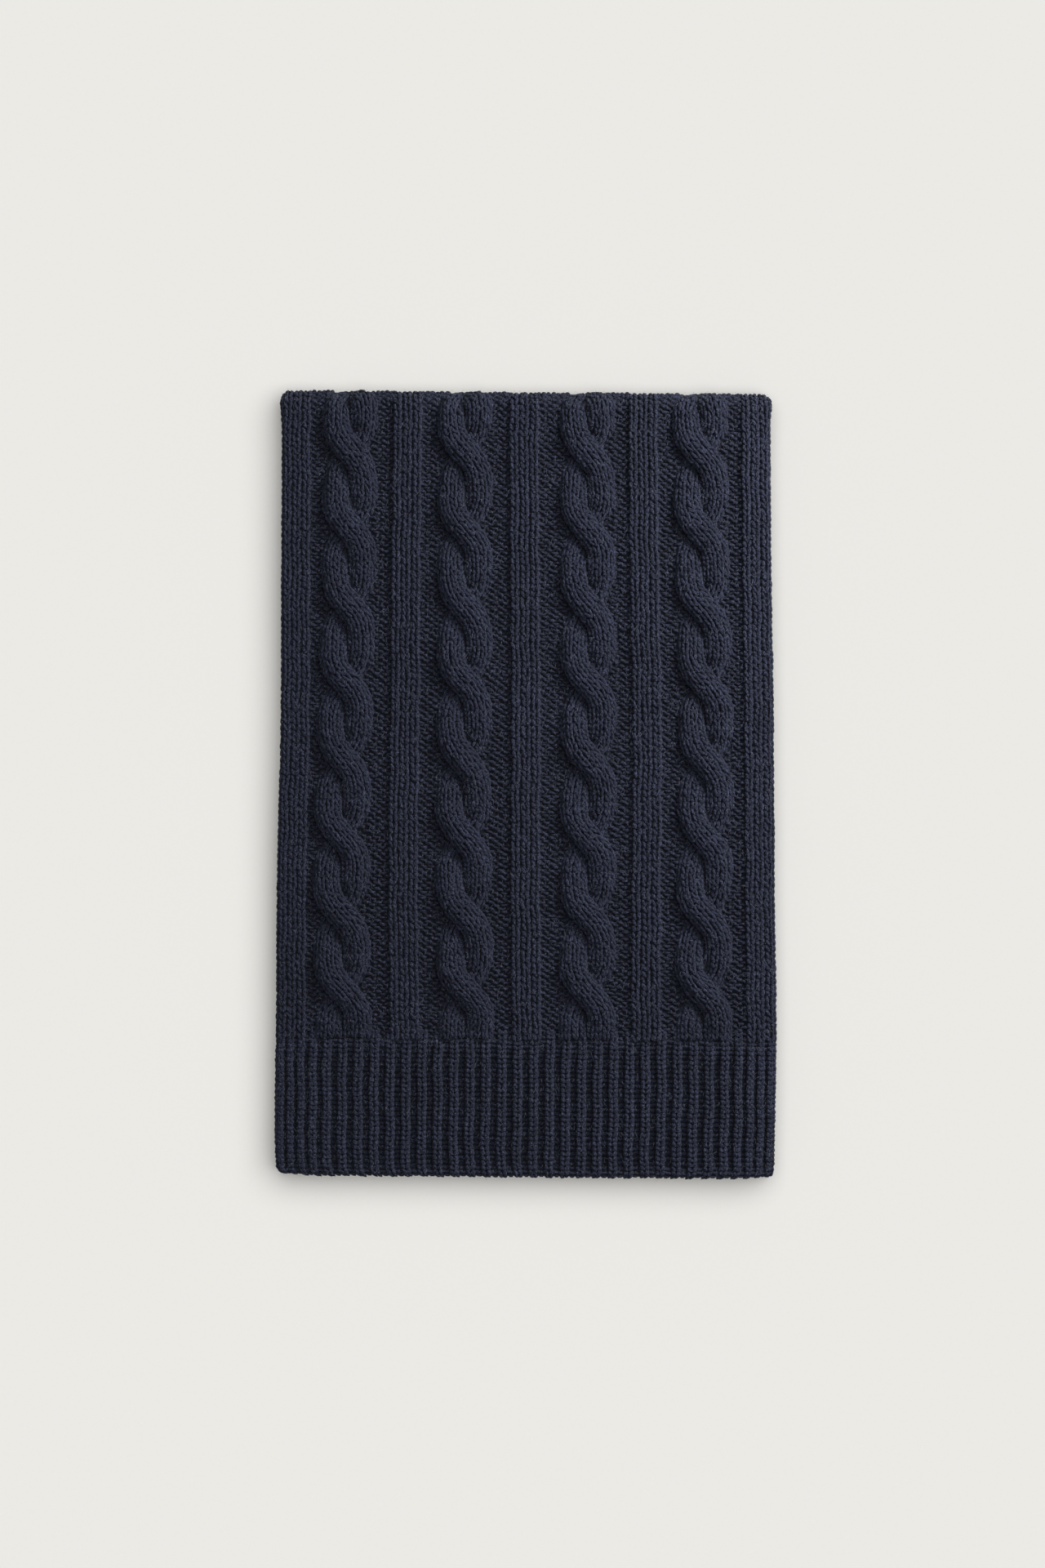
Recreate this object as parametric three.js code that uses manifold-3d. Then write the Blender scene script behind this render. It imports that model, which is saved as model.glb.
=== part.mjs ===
// A cable-knit scarf, folded in half twice and laid flat: four layers of one long knitted strip.
// Millimetres. X runs across the scarf, Y along its length towards the outer fold, Z is up.
// The origin is the middle of the rectangle it covers, on the surface that it lies on.
//
// From the top down the layers are: the front stretch, which ends in a rib; the second end, which
// ends in a rib just under it; the third layer; and the underside, which lies flat. The outer fold
// joins the front to the underside at +Y, an inner fold joins the second and third layers inside it,
// and the lower fold joins the third layer to the underside at -Y.
import * as THREE from "three";
import { mergeVertices } from "three/addons/utils/BufferGeometryUtils.js";
import Module from "manifold-3d";

// Driving dimensions
const FOLDED_LENGTH = 471; // from the rib's edge to the outer fold
const RIB_LENGTH = 83.5;
const GAP = 0.3; // left between pieces that touch
const LAYER = 5.3; // one hidden layer, pressed by those above it
const BOTTOM_LAYER = 5.1;
const GROUND = 3.4; // the purl ground of the front layer, above its inside
const PANEL_RISE = 2.0; // knit panels above the purl ground
const SHOULDER_OUT = 1.4; // a panel's shoulder starts this far outside its edge
const SHOULDER_IN = 2.2; // and ends this far inside
const RIB_GROOVE = 3.2; // the rib's grooves above the inside
const RIB_RISE = 2.2; // the rib's ridges above its grooves
const SECOND_RIB_RISE = 0.6; // those of the second end, pressed by the front
const EDGE_ROUND = 4.5; // how far in from a selvedge the cloth rounds off
const LIP = 0.28; // the share of the thickness that is left at the very edge
const SKEW = 0.008; // the folded scarf lies a little out of square
const SECOND_END_INSET = 1.6; // the second end and the lower fold stop short of the front's edge
const LOWER_FOLD_INSET = 1.4;
const CORNER_INSET = 2.2; // the outer fold's two corners are rounded by this much
const SLAB_OVERLAP = 0.4; // how far the joined hidden layers run into each other

// The cables: two strands of four wales, each crossing over the other from left to right in turn
const CABLE_PERIOD = 46.1; // from one crossing to the next
const FIRST_CROSSING = 198.9; // the crossing nearest the outer fold on the front
const STRAND_SWING = 8.5; // a strand's centre from the cable's axis
const STRAND_HALF_WIDTH = 8.1;
const STRAND_DOME = 4.8; // the crown of a strand above its own edges
const STRAND_SIDE_RISE = 4.0; // a strand's crown above the ground, beside a crossing
const STRAND_CROSS_RISE = 2.1; // and as much again where it crosses over
const STRAND_SLANT = 0.05; // how much more upright than a plain wave a strand is between crossings

// The two selvedges of the front layer, from the middle line
const OUTLINE = [
  { y: -235.5, left: -146.0, right: 145.0 },
  { y: -234.2, left: -148.3, right: 147.2 },
  { y: -230.5, left: -150.1, right: 148.5 },
  { y: -217.0, left: -150.4, right: 148.6 },
  { y: -178.0, left: -150.2, right: 149.4 },
  { y: -139.0, left: -149.5, right: 149.6 },
  { y: -100.0, left: -149.4, right: 149.0 },
  { y: -61.0, left: -149.0, right: 148.5 },
  { y: -21.5, left: -148.3, right: 148.4 },
  { y: 17.5, left: -147.1, right: 148.0 },
  { y: 57.0, left: -146.6, right: 147.8 },
  { y: 115.0, left: -146.5, right: 146.7 },
  { y: 174.0, left: -146.2, right: 146.2 },
  { y: 213.0, left: -146.1, right: 146.0 },
  { y: 224.0, left: -145.8, right: 145.6 },
];
// How far the layers underneath stand out past it, or in from it where negative
const OFFSETS = [
  { y: -235.5, underLeft: 0.6, underRight: -1.0, innerLeft: -1.8, innerRight: -1.2 },
  { y: -200.0, underLeft: 1.3, underRight: 0.4, innerLeft: -0.6, innerRight: -1.6 },
  { y: -160.0, underLeft: 1.0, underRight: 1.2, innerLeft: -1.4, innerRight: -0.4 },
  { y: -60.0, underLeft: -1.2, underRight: 0.5, innerLeft: -2.2, innerRight: -1.2 },
  { y: 60.0, underLeft: -1.0, underRight: -0.6, innerLeft: -1.2, innerRight: -2.0 },
  { y: 190.0, underLeft: -0.6, underRight: 1.2, innerLeft: -2.0, innerRight: -0.8 },
  { y: 224.0, underLeft: 0.0, underRight: 0.0, innerLeft: -2.4, innerRight: -2.0 },
];
// The front's stretches of stitch, by their centre across the scarf where it is 294 wide
const KNIT_PANELS = [
  { centre: -138.0, width: 18.4 },
  { centre: -73.6, width: 18.4 },
  { centre: -2.1, width: 18.6 },
  { centre: 70.3, width: 18.4 },
  { centre: 138.0, width: 18.4 },
];
const CABLES = [{ centre: -108.2 }, { centre: -37.0 }, { centre: 36.0 }, { centre: 105.4 }];
const LAYOUT_HALF_WIDTH = 147.2;

// The rib: one knit ridge and one purl groove in turn, closer together at the two selvedges
const RIB_COUNT = 34;
const RIB_PITCH = 9.45;
const RIB_EDGE_SQUEEZE = 3.6; // how much closer the outermost ridges lie
const RIB_SQUEEZED = 5; // how many ridges at each selvedge are drawn together
const RIB_MARGIN = 2.9; // from the selvedge to the outermost ridge's centre
const RIDGE_TOP_SHARE = 0.42; // the flat top of a ridge, as a share of the way to the next groove

// How finely the surfaces are divided
const CABLE_HALF_SPAN = 17.8;
const CABLE_STRIPS = 10;
const ROWS_PER_PERIOD = 8;
const PLAIN_ROW = 39; // the longest step along a plain stretch
const INSIDE_STEP = 75; // the longest step across a plain inside
const FOLD_STEPS = 9;
const LOWER_FOLD_STEPS = 8;
const EDGE_PLACES = [0, 0.12, 0.45, 1]; // where a rounded selvedge is divided
const END_PLACES = [0.5, 0.87, 0.99]; // where a hidden fold's round end is divided

// Heights and places worked out from those
const HALF_LENGTH = FOLDED_LENGTH / 2;
const RIB_SEAM = -HALF_LENGTH + RIB_LENGTH;
const THIRD_BOTTOM = BOTTOM_LAYER + GAP;
const SECOND_BOTTOM = THIRD_BOTTOM + LAYER;
const FRONT_INSIDE = SECOND_BOTTOM + LAYER + GAP;
const FOLD_INNER_RADIUS = (FRONT_INSIDE - BOTTOM_LAYER) / 2;
const FOLD_CENTRE_Z = FRONT_INSIDE - FOLD_INNER_RADIUS;
const FOLD_APEX_HEIGHT = GROUND + PANEL_RISE;
const FOLD_START = HALF_LENGTH - FOLD_INNER_RADIUS - FOLD_APEX_HEIGHT;
const FOLD_CLOTH_RADIUS = FOLD_INNER_RADIUS + GROUND; // where the cloth keeps its length
const RELIEF_AT_APEX = 0.4; // the fold stretches the relief flatter
const LOWER_FOLD_RADIUS = SECOND_BOTTOM / 2;
const LOWER_FOLD_START = -HALF_LENGTH + LOWER_FOLD_INSET + LOWER_FOLD_RADIUS;
const WIDTH = 2 * LAYOUT_HALF_WIDTH;

const clamp = THREE.MathUtils.clamp;
const lerp = THREE.MathUtils.lerp;
const smooth = THREE.MathUtils.smoothstep;

// The value of a table's column at y, between its rows
function at(table, y, column) {
  const last = table.length - 1;
  if (y <= table[0].y) return table[0][column];
  if (y >= table[last].y) return table[last][column];
  const i = table.findIndex((row) => row.y > y);
  const [a, b] = [table[i - 1], table[i]];
  return lerp(a[column], b[column], (y - a.y) / (b.y - a.y));
}

// Steps from a to b, none longer than longest
function steps(a, b, longest) {
  const n = Math.max(1, Math.ceil(Math.abs(b - a) / longest));
  return Array.from({ length: n + 1 }, (_, i) => lerp(a, b, i / n));
}

// The share of the full thickness at a distance in from an edge
function rounding(distance) {
  const inward = clamp(distance / EDGE_ROUND, 0, 1);
  return LIP + (1 - LIP) * Math.sqrt(1 - (1 - inward) ** 2);
}

// A closed wall between outer and inner columns. Columns go from left to right, a column's points
// go from its start to its end with t rising from 0 to 1, and neighbours may differ in count.
function wallGeometry(outer, inner) {
  const positions = [];
  const index = [];
  const numbered = (columns) =>
    columns.map((column) =>
      column.map(({ x, y, z, t }) => ({ id: positions.push(x, y, z) / 3 - 1, t })),
    );
  const join = (a, b) => {
    let [i, j] = [0, 0];
    while (i < a.length - 1 || j < b.length - 1) {
      const stepA = j === b.length - 1 || (i < a.length - 1 && a[i + 1].t <= b[j + 1].t);
      if (stepA) index.push(a[i].id, b[j].id, a[++i].id);
      else index.push(a[i].id, b[j].id, b[++j].id);
    }
  };
  const row = (columns, pick) =>
    columns.map((column, k) => ({ id: column.at(pick).id, t: k / (columns.length - 1) }));
  const [out, inn] = [numbered(outer), numbered(inner)];
  for (let k = 1; k < out.length; k++) join(out[k - 1], out[k]);
  for (let k = 1; k < inn.length; k++) join(inn[k], inn[k - 1]);
  join(inn[0], out[0]);
  join(out.at(-1), inn.at(-1));
  join(row(out, 0), row(inn, 0));
  join(row(inn, -1), row(out, -1));
  const geometry = new THREE.BufferGeometry();
  geometry.setAttribute("position", new THREE.Float32BufferAttribute(positions, 3));
  geometry.setIndex(index);
  return geometry;
}

// A strand's centre across and its crown above the ground, at a phase counted in crossings from
// where it crosses over. It crosses over from left to right at 0 and back underneath at 1.
function strand(phase) {
  const turn = Math.PI * phase;
  const wave = (Math.sin(turn) + STRAND_SLANT * Math.sin(3 * turn)) / (1 - STRAND_SLANT);
  return {
    across: STRAND_SWING * wave,
    crown: STRAND_SIDE_RISE + STRAND_CROSS_RISE * Math.cos(turn),
  };
}

// A cable above the purl ground, at a distance along the cloth and across from its axis
function cableRise(along, across) {
  const phase = (FIRST_CROSSING - along) / CABLE_PERIOD;
  const rises = [0, 1].map((turn) => {
    const { across: centre, crown } = strand(phase - turn);
    const { across: next } = strand(phase - turn + 0.01);
    const slope = (next - centre) / (0.01 * CABLE_PERIOD);
    const off = ((across - centre) * Math.cos(Math.atan(slope))) / STRAND_HALF_WIDTH;
    return Math.abs(off) < 1 ? crown - STRAND_DOME * (1 - Math.sqrt(1 - off * off)) : 0;
  });
  return Math.max(0, ...rises);
}

// A knit panel above the purl ground: a flat top with round shoulders
function panelRise(panel, across) {
  const fromEdge = panel.width / 2 - Math.abs(across);
  return PANEL_RISE * smooth(fromEdge, -SHOULDER_OUT, SHOULDER_IN);
}

// The front layer's thickness over its inside, where layoutX is its place in the layout
function frontThickness(along, layoutX) {
  const cable = CABLES.find(({ centre }) => Math.abs(layoutX - centre) <= CABLE_HALF_SPAN);
  const aboveRib = smooth(along, RIB_SEAM - 2, RIB_SEAM + 9);
  if (cable) return GROUND + lerp(PANEL_RISE / 2, cableRise(along, layoutX - cable.centre), aboveRib);
  return GROUND + Math.max(...KNIT_PANELS.map((p) => panelRise(p, layoutX - p.centre)));
}

// Where a share of the way from the left selvedge to the right lies across, at y: on the front, on
// the underside and on the layers between
const frontX = (y, share) => lerp(at(OUTLINE, y, "left"), at(OUTLINE, y, "right"), share);
const underX = (y, share) => {
  const left = at(OUTLINE, y, "left") - at(OFFSETS, y, "underLeft");
  return lerp(left, at(OUTLINE, y, "right") + at(OFFSETS, y, "underRight"), share);
};
const innerX = (y, share) => {
  const left = at(OUTLINE, y, "left") - at(OFFSETS, y, "innerLeft");
  return lerp(left, at(OUTLINE, y, "right") + at(OFFSETS, y, "innerRight"), share);
};
const shareOf = (layoutX) => (layoutX + LAYOUT_HALF_WIDTH) / WIDTH;

// The front stretch: from the rib up the top, round the outer fold and down to the surface
function frontPanel() {
  const foldTurn = Math.PI * FOLD_CLOTH_RADIUS;
  const end = FOLD_START + foldTurn;
  const start = RIB_SEAM + GAP / 2;
  const foldRows = steps(FOLD_START, end, foldTurn / FOLD_STEPS).slice(1);
  const cableRows = [...steps(start, FOLD_START, CABLE_PERIOD / ROWS_PER_PERIOD), ...foldRows];
  const plainRows = [...steps(start, FOLD_START, PLAIN_ROW), ...foldRows];
  const point = (along, layoutX, thickness) => {
    const turn = Math.max(0, along - FOLD_START) / FOLD_CLOTH_RADIUS;
    const outward = layoutX / LAYOUT_HALF_WIDTH;
    const inset = CORNER_INSET * Math.sin(turn) ** 2 * Math.sign(outward) * outward ** 8;
    const radius = turn > 0 ? FOLD_INNER_RADIUS + thickness : 0;
    const y = turn > 0 ? FOLD_START + radius * Math.sin(turn) : along;
    const z = turn > 0 ? FOLD_CENTRE_Z + radius * Math.cos(turn) : FRONT_INSIDE + thickness;
    const t = (along - start) / (end - start);
    const x = frontX(Math.min(along, FOLD_START), shareOf(layoutX)) - inset;
    return { x, y, z: Math.max(z, 0), t };
  };
  const outerThickness = (along, layoutX) => {
    const turn = Math.max(0, along - FOLD_START) / FOLD_CLOTH_RADIUS;
    const eased = lerp(1, RELIEF_AT_APEX, smooth(turn, 0, Math.PI / 2));
    const relief = GROUND + PANEL_RISE / 2;
    const onTop = relief + (frontThickness(along, layoutX) - relief) * eased;
    const pressed = lerp(onTop, BOTTOM_LAYER, smooth(turn, 0.5 * Math.PI, 0.95 * Math.PI));
    return pressed * rounding(LAYOUT_HALF_WIDTH - Math.abs(layoutX));
  };
  const column = (layoutX, rows, thick) =>
    rows.map((along) => point(along, layoutX, thick ? outerThickness(along, layoutX) : 0));

  // Places across: fine in the cables, and only where the surface bends elsewhere
  const places = [];
  for (const { centre } of CABLES)
    for (let i = 0; i <= CABLE_STRIPS; i++) {
      const x = centre + CABLE_HALF_SPAN * ((2 * i) / CABLE_STRIPS - 1);
      places.push({ x, rows: cableRows });
    }
  for (const { centre, width } of KNIT_PANELS)
    for (const bend of [-SHOULDER_OUT, (SHOULDER_IN - SHOULDER_OUT) / 2, SHOULDER_IN])
      for (const side of [-1, 1]) {
        const x = centre + side * (width / 2 - bend);
        if (Math.abs(x) < LAYOUT_HALF_WIDTH - EDGE_ROUND) places.push({ x, rows: plainRows });
      }
  for (const inward of EDGE_PLACES)
    for (const side of [-1, 1])
      places.push({ x: side * (LAYOUT_HALF_WIDTH - inward * EDGE_ROUND), rows: plainRows });
  places.sort((a, b) => a.x - b.x);
  const outer = places.map(({ x, rows }) => column(x, rows, true));
  const inside = steps(-LAYOUT_HALF_WIDTH, LAYOUT_HALF_WIDTH, INSIDE_STEP);
  const inner = inside.map((x) => column(x, plainRows, false));
  return wallGeometry(outer, inner);
}

// The ridges' centres across the rib, in the layout, from the left
function ribCentres() {
  const pitch = (k) => {
    const fromEdge = Math.min(k, RIB_COUNT - 2 - k);
    return RIB_PITCH - RIB_EDGE_SQUEEZE * (1 - smooth(fromEdge, 0, RIB_SQUEEZED));
  };
  const places = [0];
  for (let k = 0; k < RIB_COUNT - 1; k++) places.push(places[k] + pitch(k));
  const scale = (WIDTH - 2 * RIB_MARGIN) / places.at(-1);
  return places.map((x) => (x - places.at(-1) / 2) * scale);
}

// A ribbed end of the strip, its inside at height bottom, from seam to the edge
function ribbedEnd(bottom, thickness, rise, seam, edge, edgeX) {
  const centres = ribCentres();
  const places = [{ x: -LAYOUT_HALF_WIDTH, ridge: 0 }];
  centres.forEach((x, k) => {
    const before = k ? (centres[k - 1] + x) / 2 : -LAYOUT_HALF_WIDTH;
    const after = k < RIB_COUNT - 1 ? (centres[k + 1] + x) / 2 : LAYOUT_HALF_WIDTH;
    places.push({ x: lerp(x, before, RIDGE_TOP_SHARE), ridge: 1 });
    places.push({ x: lerp(x, after, RIDGE_TOP_SHARE), ridge: 1 });
    places.push({ x: after, ridge: 0 });
  });
  const rows = [...steps(seam, edge + EDGE_ROUND, PLAIN_ROW)];
  rows.push(edge + EDGE_ROUND * 0.4, edge + EDGE_ROUND * 0.1, edge);
  const inside = steps(-LAYOUT_HALF_WIDTH, LAYOUT_HALF_WIDTH, INSIDE_STEP);
  const point = (y, layoutX, z) => {
    const t = (seam - y) / (seam - edge);
    return { x: edgeX(y, shareOf(layoutX)), y, z: bottom + z, t };
  };
  const height = (y, { x, ridge }) =>
    (thickness + rise * ridge) * rounding(y - edge) * rounding(LAYOUT_HALF_WIDTH - Math.abs(x));
  // Seen from its seam the end runs towards -Y, so its columns go from right to left
  const outer = [...places].reverse().map((place) => rows.map((y) => point(y, place.x, height(y, place))));
  const inner = [...inside].reverse().map((x) => rows.map((y) => point(y, x, 0)));
  return wallGeometry(outer, inner);
}

// The underside: flat on the surface, then round the lower fold to where the third layer begins
function undersidePanel() {
  const start = FOLD_START - GAP;
  const flatRows = steps(start, LOWER_FOLD_START, PLAIN_ROW);
  const turns = steps(0, Math.PI, Math.PI / LOWER_FOLD_STEPS).slice(1);
  const total = start - LOWER_FOLD_START + Math.PI * LOWER_FOLD_RADIUS;
  const path = [
    ...flatRows.map((y) => ({ y, turn: 0, t: (start - y) / total })),
    ...turns.map((turn) => ({
      y: LOWER_FOLD_START,
      turn,
      t: (start - LOWER_FOLD_START + turn * LOWER_FOLD_RADIUS) / total,
    })),
  ];
  const point = ({ y, turn, t }, share, radius) => {
    const placeY = y - radius * Math.sin(turn);
    return { x: underX(placeY, share), y: placeY, z: LOWER_FOLD_RADIUS - radius * Math.cos(turn), t };
  };
  const inside = LOWER_FOLD_RADIUS - BOTTOM_LAYER;
  const shares = EDGE_PLACES.map((inward) => (inward * EDGE_ROUND) / WIDTH);
  const outerShares = [...shares, 0.25, 0.5, 0.75, ...shares.map((s) => 1 - s).reverse()];
  // The selvedges round off downwards, only a little, so that the underside stays flat
  const lift = (share) => {
    const inward = Math.min(share, 1 - share) * WIDTH;
    return inside + (BOTTOM_LAYER * (1 + rounding(inward))) / 2;
  };
  const outer = outerShares.map((share) => path.map((p) => point(p, share, lift(share))));
  const inner = [0, 0.25, 0.5, 0.75, 1].map((share) => path.map((p) => point(p, share, inside)));
  return wallGeometry(outer, inner);
}

// One hidden layer as a slab with round selvedges, from y0 to y1, between two heights
function slab(bottom, top, y0, y1, endRound) {
  const middle = (bottom + top) / 2;
  const half = (top - bottom) / 2;
  const rows = steps(y0, y1 - endRound, PLAIN_ROW);
  if (endRound) for (const share of END_PLACES) rows.push(y1 - endRound * (1 - share));
  const squeeze = (y) => {
    const share = endRound ? clamp((y - (y1 - endRound)) / endRound, 0, 1) : 0;
    return Math.sqrt(1 - share * share);
  };
  const turns = [0, 0.2, 0.5, 1];
  const shares = turns.map((turn) => ((1 - Math.cos((turn * Math.PI) / 2)) * half) / WIDTH);
  const column = (share, height) =>
    rows.map((y) => ({
      x: innerX(y, share),
      y,
      z: middle + height * half * squeeze(y),
      t: (y - y0) / (y1 - y0),
    }));
  const heights = turns.map((turn) => Math.max(0.12, Math.sin((turn * Math.PI) / 2)));
  const outer = [
    ...shares.map((share, i) => column(share, heights[i])),
    column(0.5, 1),
    ...shares.map((share, i) => column(1 - share, heights[i])).reverse(),
  ];
  const inner = [
    ...shares.map((share, i) => column(share, -heights[i])),
    column(0.5, -1),
    ...shares.map((share, i) => column(1 - share, -heights[i])).reverse(),
  ];
  return wallGeometry(outer, inner);
}

const wasm = await Module();
wasm.setup();

function solid(geometry) {
  const bare = new THREE.BufferGeometry();
  bare.setAttribute("position", geometry.getAttribute("position"));
  bare.setIndex(geometry.getIndex());
  const merged = mergeVertices(bare);
  return new wasm.Manifold(
    new wasm.Mesh({
      numProp: 3,
      vertProperties: new Float32Array(merged.getAttribute("position").array),
      triVerts: new Uint32Array(merged.getIndex().array),
    }),
  );
}

function geometryOf(manifold) {
  const { vertProperties, triVerts } = manifold.getMesh();
  const geometry = new THREE.BufferGeometry();
  geometry.setAttribute("position", new THREE.Float32BufferAttribute(vertProperties, 3));
  geometry.setIndex(Array.from(triVerts));
  return geometry;
}

// The second and third layers in one solid, with a groove between them along the selvedges, and
// their inner fold in one round end. The third layer runs on to the lower fold.
function hiddenLayers() {
  const foldEnd = FOLD_START + FOLD_INNER_RADIUS - GAP;
  const foldStart = foldEnd - LAYER;
  const top = FRONT_INSIDE - GAP;
  const third = slab(THIRD_BOTTOM, SECOND_BOTTOM, LOWER_FOLD_START + GAP, foldStart, 0);
  const second = slab(SECOND_BOTTOM - SLAB_OVERLAP, top, RIB_SEAM + GAP / 2, foldStart, 0);
  const round = slab(THIRD_BOTTOM, top, foldStart - SLAB_OVERLAP, foldEnd, LAYER);
  return geometryOf(solid(third).add(solid(second)).add(solid(round)));
}

const NAVY = 0x262a3a; // the same wool throughout
function piece(name, geometry) {
  geometry.computeVertexNormals();
  const material = new THREE.MeshStandardMaterial({ color: NAVY, roughness: 0.95, metalness: 0 });
  const mesh = new THREE.Mesh(geometry, material);
  mesh.name = name;
  return mesh;
}

const scarf = new THREE.Group();
scarf.name = "folded_scarf";
const frontRib = ribbedEnd(
  FRONT_INSIDE,
  RIB_GROOVE,
  RIB_RISE,
  RIB_SEAM - GAP / 2,
  -HALF_LENGTH,
  frontX,
);
const secondRib = ribbedEnd(
  SECOND_BOTTOM + GAP,
  LAYER - GAP - SECOND_RIB_RISE,
  SECOND_RIB_RISE,
  RIB_SEAM - GAP / 2,
  -HALF_LENGTH + SECOND_END_INSET,
  innerX,
);
scarf.add(
  piece("front_cabled_panel", frontPanel()),
  piece("front_rib_end", frontRib),
  piece("second_rib_end", secondRib),
  piece("hidden_layers", hiddenLayers()),
  piece("underside_panel", undersidePanel()),
);

// Out of square by the skew: y falls as x rises
const skew = new THREE.Matrix4().set(1, 0, 0, 0, -SKEW, 1, 0, 0, 0, 0, 1, 0, 0, 0, 0, 1);
for (const mesh of scarf.children) mesh.geometry.applyMatrix4(skew);

// The origin: under the middle of the box that holds the scarf
const box = new THREE.Box3().setFromObject(scarf);
const middle = box.getCenter(new THREE.Vector3());
for (const mesh of scarf.children) mesh.geometry.translate(-middle.x, -middle.y, -box.min.z);

export default scarf;
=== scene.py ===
import math

import bpy
import numpy as np
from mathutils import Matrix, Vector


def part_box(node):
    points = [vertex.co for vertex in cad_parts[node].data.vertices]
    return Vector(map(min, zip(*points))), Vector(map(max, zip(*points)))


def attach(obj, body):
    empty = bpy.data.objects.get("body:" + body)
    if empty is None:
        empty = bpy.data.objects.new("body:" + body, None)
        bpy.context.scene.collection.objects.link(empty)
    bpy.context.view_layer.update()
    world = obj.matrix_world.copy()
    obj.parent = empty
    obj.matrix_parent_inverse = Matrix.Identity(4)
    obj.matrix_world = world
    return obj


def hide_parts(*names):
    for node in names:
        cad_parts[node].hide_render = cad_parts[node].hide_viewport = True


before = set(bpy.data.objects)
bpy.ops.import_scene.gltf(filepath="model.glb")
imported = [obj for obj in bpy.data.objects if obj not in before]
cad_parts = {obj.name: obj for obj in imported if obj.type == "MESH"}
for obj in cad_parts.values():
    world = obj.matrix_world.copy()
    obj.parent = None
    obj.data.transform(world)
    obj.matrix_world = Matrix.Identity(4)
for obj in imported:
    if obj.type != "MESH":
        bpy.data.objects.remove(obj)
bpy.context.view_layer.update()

# A cable-knit scarf folded in half twice and laid flat, stitch by stitch. Lengths are in
# millimetres until place() turns them into metres. The letters used below: u is the place across
# the front in its layout, a is the place along it, and h is the height above its inside.

# The stack of layers
RIB_SEAM = -152.0
FRONT_INSIDE = 16.3
FOLD_START = 224.5
FOLD_INNER_RADIUS = 5.6
FOLD_CENTRE_Z = 10.7
FOLD_CLOTH_RADIUS = 9.0
FOLD_END = FOLD_START + math.pi * FOLD_CLOTH_RADIUS
THIRD_MIDDLE = 8.05
SECOND_MIDDLE = 13.35
SECOND_INSIDE = 11.0
HALF_LAYER = 2.6
UNDER_HALF_LAYER = 2.54
LAYER_INSET = 0.35
SECOND_INSET = 0.5
UNDER_THICKNESS = 5.1
FREE_RISE = 5.2
LOWER_FOLD_START = -228.75
LOWER_FOLD_RADIUS = 5.35
SECOND_END = -233.9
SECOND_BEND = -SECOND_END - 4.0
SKEW = 0.008
CORNER_INSET = 1.2
LAYOUT_HALF_WIDTH = 147.2
CLOTH_HALF_WIDTH = LAYOUT_HALF_WIDTH + 1.0
SHELL_INSIDE = 0.05

# The underside, third and second layers as one strip: its flat stretches, and the radii and
# lengths of its middle round the lower fold and round the inner fold above it
LOWER_MIDDLE_RADIUS = 2.8
UPPER_MIDDLE_RADIUS = 2.65
FLAT = FOLD_START - LOWER_FOLD_START
LOWER_ARC = math.pi * LOWER_MIDDLE_RADIUS
UPPER_ARC = math.pi * UPPER_MIDDLE_RADIUS
STRIP_END = 3 * FLAT + LOWER_ARC + UPPER_ARC

# The selvedges of the front: place along, left edge and right edge
OUTLINE = [
    (-235.5, -144.8, 144.6),
    (-234.2, -147.4, 146.9),
    (-230.5, -149.7, 148.4),
    (-217.0, -150.4, 148.6),
    (-178.0, -150.2, 149.4),
    (-139.0, -149.5, 149.6),
    (-100.0, -149.4, 149.0),
    (-61.0, -149.0, 148.5),
    (-21.5, -148.3, 148.4),
    (17.5, -147.1, 148.0),
    (57.0, -146.6, 147.8),
    (115.0, -146.5, 146.7),
    (174.0, -146.2, 146.2),
    (213.0, -146.1, 146.0),
    (224.0, -145.8, 145.6),
]
# How far the underside and the hidden layers stand out past it: left and right of each
OFFSETS = [
    (-235.5, 0.6, -1.0, -1.8, -1.2),
    (-200.0, 1.3, 0.4, -0.6, -1.6),
    (-160.0, 1.0, 1.2, -1.4, -0.4),
    (-60.0, -1.2, 0.5, -2.2, -1.2),
    (60.0, -1.0, -0.6, -1.2, -2.0),
    (190.0, -0.6, 1.2, -2.0, -0.8),
    (224.0, 0.0, 0.0, -2.4, -2.0),
]

# Stitches: PURL_START is the first purl column's distance from a panel, PURL_SHIFTS are the shares
# of a course that even and odd columns are moved by, and PURL_TUCK is how far they go in under a cable
COURSE = 3.842
WALE = 6.1
BAND_WALE = 5.75
LEG_OFFSET = 0.245
YARN_HALF = 1.0
STITCHED_END = FOLD_START + 0.93 * math.pi * FOLD_CLOTH_RADIUS
PANEL_TOP = 4.4
PURL_TOP = 2.35
PURL_PITCH = 2.85
PURL_COLUMNS = 7
PURL_START = 0.8
PURL_SHIFTS = (-0.25, 0.33)
PURL_TUCK = 1.2
PANEL_SHOULDER = 2.6
PANEL_SHOULDER_TURN = math.radians(64)
PANEL_FLAT = 6.6
PANEL_SIDE = 2.4
BAND_INNER = 129.7
BAND_FLAT_START = BAND_INNER + 2.3
BAND_FLAT = 99.0
SIDE_BEND = 145.1
END_BEND = 232.1
WRAP_RADIUS = 3.2
WRAP_CENTRE = 1.0
WRAP_LIMIT = math.radians(100)
APEX_RELIEF = 0.04
EDGE_THINNING = 0.35
THINNING_START = 124.0
THINNING_END = 150.0
MEAN_RELIEF = 4.4
WANDER = 0.2

# How unlike the pieces of yarn are: in turn, thickness and length, then in place across, along
# and up
TURN_JITTER = math.radians(5.5)
THICKNESS_JITTER = 0.1
LENGTH_JITTER = 0.07
ACROSS_JITTER = 0.17
ALONG_JITTER = 0.22
UP_JITTER = 0.14

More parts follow.
